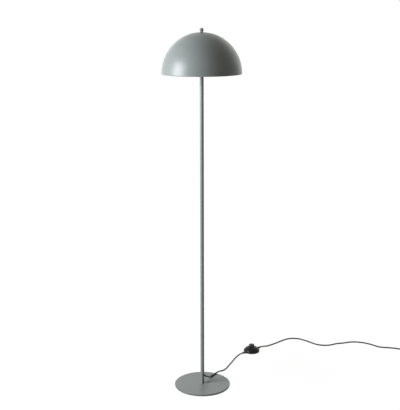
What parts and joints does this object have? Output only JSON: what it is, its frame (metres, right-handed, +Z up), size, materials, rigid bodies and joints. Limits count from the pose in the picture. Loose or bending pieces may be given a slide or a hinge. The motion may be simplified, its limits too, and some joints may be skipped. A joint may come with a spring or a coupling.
{
  "type": "floor lamp",
  "caption": "Floor lamp with a half-ball metal shade on a thin straight pole, a round flat base, a foot switch on its mains lead and a coil of spare lead with its plug.",
  "frame": {"origin": "middle of the round base, on the floor", "axes": "+Z up along the pole, +X to the right and +Y away from the front; the lead leaves the pole to the back right"},
  "size_m": [1.2171, 0.7194, 1.5],
  "materials": {
    "painted_steel": "satin",
    "zinc_steel": "satin",
    "brass": "satin",
    "foam_pad": "matte",
    "holder_plastic": "satin",
    "ceramic_core": "matte",
    "opal_glass": "satin",
    "bulb_metal": "satin",
    "bulb_insulation": "gloss",
    "soft_plastic": "satin",
    "cord_sheath": "satin",
    "switch_rubber": "matte",
    "switch_plastic": "gloss",
    "button_plastic": "satin"
  },
  "bodies": {
    "lamp_stand": {"base_pad": "foam_pad", "base_plate": "painted_steel", "base_screw": "zinc_steel", "cord_coil": "cord_sheath", "cord_gland": "soft_plastic", "cord_plug_run": "cord_sheath", "cord_pole_run": "cord_sheath", "cord_switch_run": "cord_sheath", "harp_loop": "zinc_steel", "harp_saddle": "zinc_steel", "harp_stud": "zinc_steel", "inner_flex": "cord_sheath", "lampholder_cap": "holder_plastic", "lampholder_contact": "brass", "lampholder_core": "ceramic_core", "lampholder_shell": "holder_plastic", "lampholder_sleeve": "brass", "lampholder_terminals": "brass", "plug_body": "soft_plastic", "plug_pins": "brass", "plug_relief": "soft_plastic", "pole_coupler_lower": "zinc_steel", "pole_coupler_upper": "zinc_steel", "pole_foot_insert": "zinc_steel", "pole_lower": "painted_steel", "pole_middle": "painted_steel", "pole_top_bush": "painted_steel", "pole_upper": "painted_steel", "saddle_nut": "zinc_steel", "saddle_washer": "zinc_steel", "switch_base": "switch_plastic", "switch_clamp_screws": "zinc_steel", "switch_clamps": "switch_plastic", "switch_cover": "switch_plastic", "switch_cover_screws": "zinc_steel", "switch_grommet_in": "soft_plastic", "switch_grommet_out": "soft_plastic", "switch_mechanism": "switch_plastic", "switch_pad": "switch_rubber", "switch_spring": "zinc_steel", "switch_terminals": "brass", "top_nipple": "zinc_steel"},
    "shade": {"shade": "painted_steel"},
    "finial": {"finial": "painted_steel"},
    "bulb": {"bulb_glass": "opal_glass", "bulb_cap": "bulb_metal", "bulb_insulator": "bulb_insulation", "bulb_contact": "brass"},
    "ferrule_right": {"harp_ferrule_right": "zinc_steel"},
    "ferrule_left": {"harp_ferrule_left": "zinc_steel"},
    "foot_button": {"switch_button": "button_plastic", "switch_plunger": "button_plastic"}
  },
  "joints": [
    {"name": "shade_turn", "type": "hinge", "parent": "lamp_stand", "child": "shade", "pos_m": [0, 0, 1.482], "axis": [0, 0, 1], "continuous": true},
    {"name": "finial_turn", "type": "hinge", "parent": "lamp_stand", "child": "finial", "pos_m": [0, 0, 1.49], "axis": [0, 0, 1], "continuous": true},
    {"name": "bulb_turn", "type": "hinge", "parent": "lamp_stand", "child": "bulb", "pos_m": [0, 0, 1.37], "axis": [0, 0, 1], "continuous": true},
    {"name": "ferrule_right_lift", "type": "slide", "parent": "lamp_stand", "child": "ferrule_right", "axis": [0, 0, 1], "range_m": [0, 0.012]},
    {"name": "ferrule_left_lift", "type": "slide", "parent": "lamp_stand", "child": "ferrule_left", "axis": [0, 0, 1], "range_m": [0, 0.012]},
    {"name": "foot_button_press", "type": "slide", "parent": "lamp_stand", "child": "foot_button", "axis": [0, 0, -1], "range_m": [0, 0.003], "stiffness_N_per_m": 1500, "springref_m": -0.002, "deforming": ["switch_spring"]}
  ]
}
